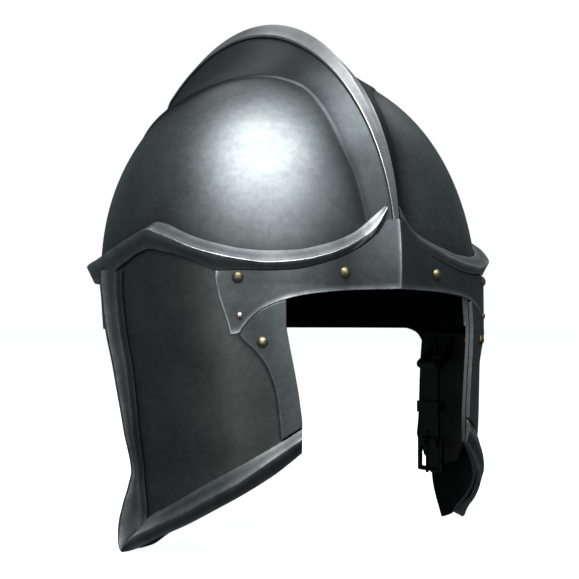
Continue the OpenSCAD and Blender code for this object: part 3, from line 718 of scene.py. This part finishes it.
def lower_borders():
    deg = np.linspace(30.6, 81.4, 110)
    zu, zr, zb, out = lower_upper(deg), lower_ridge(deg), lower_edge(deg), lower_out(deg)
    base = BORDER_BASE + 0.1 * MM
    corners = np.stack([
        at(deg, zu, base), at(deg, zr, base), at(deg, zb, np.maximum(base, out - 5 * MM)),
        at(deg, zb, out - 2 * MM), at(deg, zr, out), at(deg, zu - 1 * MM, base + 1.5 * MM)], 1)
    wear = np.tile([0.3, 0.1, 0.4, 0.9, 1.0, 0.8], (len(deg), 1))
    loops, worn = dense(corners, wear, [2, 2, 2, 5, 6, 1])
    near_tip = np.clip((deg - 77.5) / 3.9, 0, 1)[:, None, None]
    loops = mix(loops, border_tip(), TIP_PULL * near_tip ** 2)
    # Painted shade on the border's faces against the plate and on its lower outer facet, which faces down;
    # the upper facet stays bright.
    painted_shade = np.tile([0.5] * 6 + [0.35, 0.6, 0.6, 0.6, 0.5, 0.1] + [0.0] * 6, (len(deg), 1))
    for side, left in SIDES:
        obj = sweep(f"lower_border_{side}_skin", loops, worn, left, sharp=25)
        paint_shade(obj, painted_shade)
        soften(obj, 0.45 * MM, 3, 25)
        finish_as(obj, BORDER)
        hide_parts(f"lower_border_{side}")


def rear_borders():
    z = np.linspace(-116, 32.5, 130) * MM
    crease = at(plate_rear(z), z, BORDER_BASE + 0.1 * MM)
    front = at(plate_rear(z) - 2.6, z, BORDER_BASE + 0.1 * MM)
    e = flange_reach(z / MM)
    zero = np.zeros_like(z)

    def shifted(start, x, y):
        return start + np.stack([x + zero, y + zero, zero], -1)

    corners = np.stack([
        shifted(crease, 0, 1.2 * MM), shifted(crease, -e, 1.6 * MM), shifted(crease, -e, -0.8 * MM),
        shifted(crease, -2.4 * MM, -1.6 * MM), shifted(front, -0.4 * MM, 0)], 1)
    wear = np.tile([0.2, 0.8, 1.0, 0.25, 0.3], (len(z), 1))
    loops, worn = dense(corners, wear, [5, 1, 6, 2, 1])
    near_tip = np.clip((-101 * MM - z) / (15 * MM), 0, 1)[:, None, None]
    loops = mix(loops, border_tip(), TIP_PULL * near_tip ** 2)
    for side, left in SIDES:
        obj = sweep(f"rear_border_{side}_skin", loops, worn, left, sharp=25)
        soften(obj, 0.4 * MM, 3, 25)
        # The darker steel here is painted shade.
        finish_as(obj, REAR_SHADED)
        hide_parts(f"rear_border_{side}")


# ---------------------------------------------------------------- fittings that stay as designed
def fittings():
    looks = {
        "brow_rivets": BRASS, "cheek_rivets": BRASS, "strut_rivets": PALE_STEEL,
        "rivet_washers": IRON, "liner_rivets": IRON, "hanger_rivets": IRON,
        "strap_hanger_right": IRON, "strap_hanger_left": IRON, "buckle_frame": IRON, "buckle_prong": IRON}
    for name, mat in looks.items():
        node = NODES[name]
        node.data.materials.clear()
        node.data.materials.append(mat)


# ---------------------------------------------------------------- the lining
def dome_at(t, e, off):
    """The place at the direction t and the angle e above the brow line, off outside the skull."""
    dx, dy, dz = np.sin(t) * np.cos(e), np.cos(t) * np.cos(e), np.sin(e) * np.ones_like(t)
    q, f = np.hypot(dy, dz), np.arctan2(dz, dy)
    p = mix(REAR_POWER, FRONT_POWER, (1 + np.cos(f)) / 2)
    r = ((np.abs(dx) / (SKULL_HALF_W + off)) ** p + (q / skull_arch(f, off)) ** p) ** (-1 / p)
    return np.stack([-r * dx, -r * dy, BROW_LINE + r * dz], -1)


def quilted_pads():
    """Each pad is stitched in channels from the band to the crown, and swells between them."""
    channels = 5
    for n in range(6):
        start = 60 * n + 2
        u, v = np.linspace(0, 1, 61)[:, None], np.linspace(0, 1, 60)[None, :]
        arch = np.sqrt(np.sin(math.pi * mix(0.04, 0.96, u)) * np.sin(math.pi * mix(0.04, 0.96, v)))
        ridge = np.abs(np.sin(math.pi * channels * u)) ** 0.6
        cross = 0.75 + 0.25 * np.abs(np.sin(math.pi * 4 * v)) ** 0.5
        t = np.radians(mix(start + 0.6, start + 55.4, u) * np.ones_like(v))
        e = np.radians(mix(15, 65, v) * np.ones_like(u))
        swell = (6.8 + 7 * arch * (0.45 + 0.55 * ridge * cross)) * MM
        outer = dome_at(t, e, -5.2 * MM - 1.2 * MM * (1 - arch))
        obj = shell(f"liner_pad_{n + 1}_quilt", outer, dome_at(t, e, -swell), worn="", sharp=60)
        finish_as(obj, LINEN)
        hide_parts(f"liner_pad_{n + 1}")


def crown_pad():
    """A round cushion with stitched spokes and a sunk button."""
    low, high = (np.array(c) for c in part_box("crown_pad"))
    centre, radius, height = (low + high) / 2, (high[0] - low[0]) / 2, high[2] - low[2]
    rings, spokes = 22, 96
    verts, faces = [], []
    for side in (-1, 1):
        for i in range(rings):
            k = i / (rings - 1)
            r = radius * 0.995 * math.sin(math.pi / 2 * k) if i else 0.0004
            for j in range(spokes):
                a = 2 * math.pi * j / spokes
                quilt = abs(math.sin(4 * a)) ** 0.5
                crown = math.cos(math.pi / 2 * k) ** 0.7 * (0.72 + 0.28 * quilt) if k < 1 else 0
                button = 0.45 * math.exp(-(k / 0.16) ** 2)
                z = centre[2] + side * height / 2 * (crown - button * crown)
                verts.append((centre[0] + r * math.cos(a), centre[1] + r * math.sin(a), z))
    count = rings * spokes
    for s in range(2):
        for i in range(rings - 1):
            for j in range(spokes):
                a = s * count + i * spokes + j
                b = s * count + i * spokes + (j + 1) % spokes
                face = [a, a + spokes, b + spokes, b]
                faces.append(face if s else face[::-1])
        cap = [s * count + j for j in range(spokes)]
        faces.append(cap if s else cap[::-1])
    obj = build("crown_pad_quilt", verts, faces, sharp=60)
    mesh = bmesh.new()
    mesh.from_mesh(obj.data)
    bmesh.ops.remove_doubles(mesh, verts=mesh.verts, dist=0.00005)
    mesh.to_mesh(obj.data)
    mesh.free()
    finish_as(obj, LINEN)
    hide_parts("crown_pad")


def stitches(name, path, normals, pitch, body, size=(2.2 * MM, 0.45 * MM)):
    """A row of thread stitches that lie along a path on a surface."""
    run = np.concatenate([[0], np.cumsum(np.linalg.norm(np.diff(path, axis=0), axis=1))])
    verts, faces = [], []
    for s in np.arange(pitch / 2, run[-1], pitch):
        point = np.array([np.interp(s, run, path[:, k]) for k in range(3)])
        ahead = np.array([np.interp(min(s + 1e-4, run[-1]), run, path[:, k]) for k in range(3)]) - point
        ahead /= np.linalg.norm(ahead) + 1e-12
        up = np.array([np.interp(s, run, normals[:, k]) for k in range(3)])
        up /= np.linalg.norm(up)
        across = np.cross(up, ahead)
        start = len(verts)
        for k in (-1, -0.6, 0, 0.6, 1):
            lift = size[1] * 0.6 * (1 - k * k)
            for j in range(6):
                a = math.pi / 3 * j
                girth = size[1] * (1 - 0.5 * k * k)
                verts.append(point + ahead * k * size[0] / 2 + across * girth * math.cos(a)
                             + up * (lift + girth * math.sin(a)))
        faces += [[start + i * 6 + j, start + i * 6 + (j + 1) % 6, start + (i + 1) * 6 + (j + 1) % 6,
                   start + (i + 1) * 6 + j] for i in range(4) for j in range(6)]
        faces += [[start + j for j in range(6)][::-1], [start + 24 + j for j in range(6)]]
    obj = build(name, verts, faces, sharp=80)
    finish_as(obj, THREAD, body)


def liner_band():
    """The leather head band, folded at its upper edge and sewn along both."""
    low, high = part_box("liner_band")
    deg = np.linspace(0, 360, 241)[:-1]
    z = np.full_like(deg, BROW_LINE)
    out, into = at(deg, z, -4.65 * MM), at(deg, z, -6.5 * MM)
    profile = [(0.15, 0), (0, 0.06), (0, 0.5), (0, 0.94), (0.2, 1), (0.8, 1), (1, 0.94), (0.9, 0.86),
               (0.86, 0.5), (0.9, 0.14), (1, 0.06), (0.85, 0)]
    loops = []
    for k, h in profile:
        ring = mix(out, into, k)
        ring[:, 2] = mix(low[2], high[2], h)
        loops.append(ring)
    loops = np.stack(loops, 1)
    n, m = loops.shape[:2]
    faces = [[i * m + j, i * m + (j + 1) % m, (i + 1) % n * m + (j + 1) % m, (i + 1) % n * m + j]
             for i in range(n) for j in range(m)]
    obj = build("liner_band_leather", loops.reshape(-1, 3), faces, sharp=70)
    finish_as(obj, LEATHER)
    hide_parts("liner_band")
    for k, height in (("upper", 0.86), ("lower", 0.14)):
        path = np.concatenate([into, into[:1]])
        path[:, 2] = mix(low[2], high[2], height)
        middle = np.array([0, 0, path[0, 2]])
        stitches(f"liner_band_{k}_stitching", path, middle - path, 5 * MM, "helmet")


def ear_linings():
    """The leather inside each side plate, sewn round its edge."""
    front = by_height((-90, 70), (-70, 60), (-10, 62), (-2.5, 64))
    rear = by_height((-90.5, 84.5), (-67, 91), (-2.5, 91.5))
    bottom = curve((60, -80), (71, -84), (84.5, -90.5), (87.5, -79.5), (91, -67))
    u, v = np.linspace(0, 1, 50)[:, None], np.linspace(0, 1, 60)[None, :]
    z = mix(bottom(mix(60, 91, u)), -2.5 * MM, v)
    deg = mix(front(z), rear(z), u)
    for side, left in SIDES:
        obj = shell(f"ear_lining_{side}_leather", at(deg, z, -2.3 * MM), at(deg, z, -4.3 * MM), left,
                    worn="", sharp=50)
        soften(obj, 0.5 * MM, 3, 50)
        finish_as(obj, LEATHER)
        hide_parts(f"ear_lining_{side}")
        ring = [(1, j) for j in range(1, 59)] + [(i, 58) for i in range(2, 49)]
        ring += [(48, j) for j in range(57, 0, -1)] + [(i, 1) for i in range(47, 1, -1)]
        path = np.array([at(deg[i, j], z[i, j], -4.25 * MM) for i, j in ring])
        if left:
            path[:, 0] *= -1
        inward = -path * np.array([1, 1, 0])
        stitches(f"ear_lining_{side}_stitching", path, inward, 4 * MM, "helmet", (2 * MM, 0.35 * MM))


# ---------------------------------------------------------------- the chin strap
def leather_copy(name, node, body):
    """The designed strap with its cut edges rounded over."""
    obj = bpy.data.objects.new(name, NODES[node].data.copy())
    bpy.context.scene.collection.objects.link(obj)
    obj.data.materials.clear()
    mesh = bmesh.new()
    mesh.from_mesh(obj.data)
    bmesh.ops.remove_doubles(mesh, verts=mesh.verts, dist=0.00001)
    bmesh.ops.dissolve_limit(mesh, angle_limit=math.radians(1), verts=mesh.verts, edges=mesh.edges)
    mesh.to_mesh(obj.data)
    mesh.free()
    obj.data.polygons.foreach_set("use_smooth", [True] * len(obj.data.polygons))
    obj.data.set_sharp_from_angle(angle=math.radians(35))
    soften(obj, 0.3 * MM, 2, 40)
    finish_as(obj, LEATHER, body)
    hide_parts(node)


def chin_straps():
    for side, body, toward in (("right", "right_strap", 1), ("left", "left_strap", -1)):
        node = f"strap_{side}"
        low, high = (np.array(c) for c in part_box(node))
        leather_copy(f"{node}_leather", node, body)
        middle = (low[0] + high[0]) / 2
        face = middle + toward * 1.0 * MM
        top = high[2] - STRAP_END_CLEAR
        bottom = low[2] + (STRAP_END_CLEAR if side == "right" else BUCKLE_LOOP_CLEAR)
        for edge, y in (("front", low[1] + EDGE_STITCH_IN), ("rear", high[1] - EDGE_STITCH_IN)):
            path = np.array([(face, y, top), (face, y, bottom)])
            normals = np.array([(toward, 0, 0)] * 2, float)
            stitches(f"{node}_{edge}_stitching", path, normals, 4 * MM, body, (2 * MM, 0.3 * MM))
    leather_copy("strap_keeper_leather", "strap_keeper", "left_strap")


# ---------------------------------------------------------------- camera, light and floor
CAMERA_TURN = math.radians(34)
CAMERA_AWAY = 0.825
CAMERA_HEIGHT = 6.6 * MM
CAMERA_LENS = 85.8
CAMERA_SENSOR = 36
CAMERA_RISE = 0.049


def camera():
    data = bpy.data.cameras.new("camera")
    data.lens = CAMERA_LENS
    data.sensor_width = CAMERA_SENSOR
    data.shift_y = CAMERA_RISE
    data.clip_end = 50
    obj = bpy.data.objects.new("camera", data)
    obj.location = (-CAMERA_AWAY * math.sin(CAMERA_TURN), -CAMERA_AWAY * math.cos(CAMERA_TURN), CAMERA_HEIGHT)
    obj.rotation_euler = (math.pi / 2, 0, -CAMERA_TURN)
    bpy.context.scene.collection.objects.link(obj)
    bpy.context.scene.camera = obj


def softbox(name, azimuth, elevation, away, size, power, colour=(1, 1, 1)):
    """An area light aimed at the middle of the helmet, placed by its direction from the front."""
    middle = Vector((0, 0, 0.05))
    a, e = math.radians(azimuth), math.radians(elevation)
    place = middle + away * Vector((-math.sin(a) * math.cos(e), -math.cos(a) * math.cos(e), math.sin(e)))
    data = bpy.data.lights.new(name, "AREA")
    data.shape = "ELLIPSE"
    data.size, data.size_y = size
    data.energy = power
    data.color = colour
    obj = bpy.data.objects.new(name, data)
    obj.location = place
    obj.rotation_euler = (middle - place).to_track_quat("-Z", "Y").to_euler()
    bpy.context.scene.collection.objects.link(obj)


def studio():
    """A white studio that the camera sees, with dim walls in the steel's reflections."""
    world = bpy.data.worlds.new("studio")
    world.use_nodes = True
    nodes, links = world.node_tree.nodes, world.node_tree.links
    walls = nodes["Background"]
    walls.inputs["Color"].default_value = (0.62, 0.72, 0.74, 1)
    walls.inputs["Strength"].default_value = 0.12
    white = add(nodes, "ShaderNodeBackground", Color=(1, 1, 1, 1), Strength=1.0)
    chosen = nodes.new("ShaderNodeMixShader")
    links.new(add(nodes, "ShaderNodeLightPath").outputs["Is Camera Ray"], chosen.inputs[0])
    links.new(walls.outputs[0], chosen.inputs[1])
    links.new(white.outputs[0], chosen.inputs[2])
    links.new(chosen.outputs[0], nodes["World Output"].inputs["Surface"])
    bpy.context.scene.world = world
    bpy.context.scene.view_settings.view_transform = "Standard"
    softbox("key", 35, 58, 1.3, (1.35, 0.8), 27)
    softbox("side_fill", 60, 4, 1.8, (0.4, 1.2), 3, (0.95, 1, 0.96))
    softbox("front_fill", 13, 10, 2.0, (0.9, 0.6), 4)
    softbox("comb_light", -95, 54, 1.4, (0.5, 0.35), 2.4)
    softbox("back_rim", 200, 50, 1.6, (0.8, 0.5), 1)


def floor():
    """A pale floor under the points of the side plates."""
    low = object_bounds()[0][2]
    mesh = bpy.data.meshes.new("floor")
    size = 12
    mesh.from_pydata([(-size, -size, low), (size, -size, low), (size, size, low), (-size, size, low)], [],
                     [[0, 1, 2, 3]])
    obj = bpy.data.objects.new("floor", mesh)
    bpy.context.scene.collection.objects.link(obj)
    mat, nodes, links, bsdf = material("pale_floor")
    place = add(nodes, "ShaderNodeTexCoord").outputs["Object"]
    links.new(ramp(nodes, links, noise(nodes, links, place, 3), (0.3, (0.90,)), (0.7, (0.93,))),
              bsdf.inputs["Base Color"])
    bsdf.inputs["Roughness"].default_value = 0.9
    bsdf.inputs["Emission Color"].default_value = (1, 1, 1, 1)
    bsdf.inputs["Emission Strength"].default_value = 0.92
    mesh.materials.append(mat)
    obj.visible_glossy = False
    obj.visible_diffuse = False
    obj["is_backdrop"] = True


camera()
skulls()
comb_strip()
rim_mouldings()
brow_plate()
neck_band()
side_plates()
cheek_borders()
lower_borders()
rear_borders()
fittings()
quilted_pads()
crown_pad()
liner_band()
ear_linings()
chin_straps()
studio()
floor()
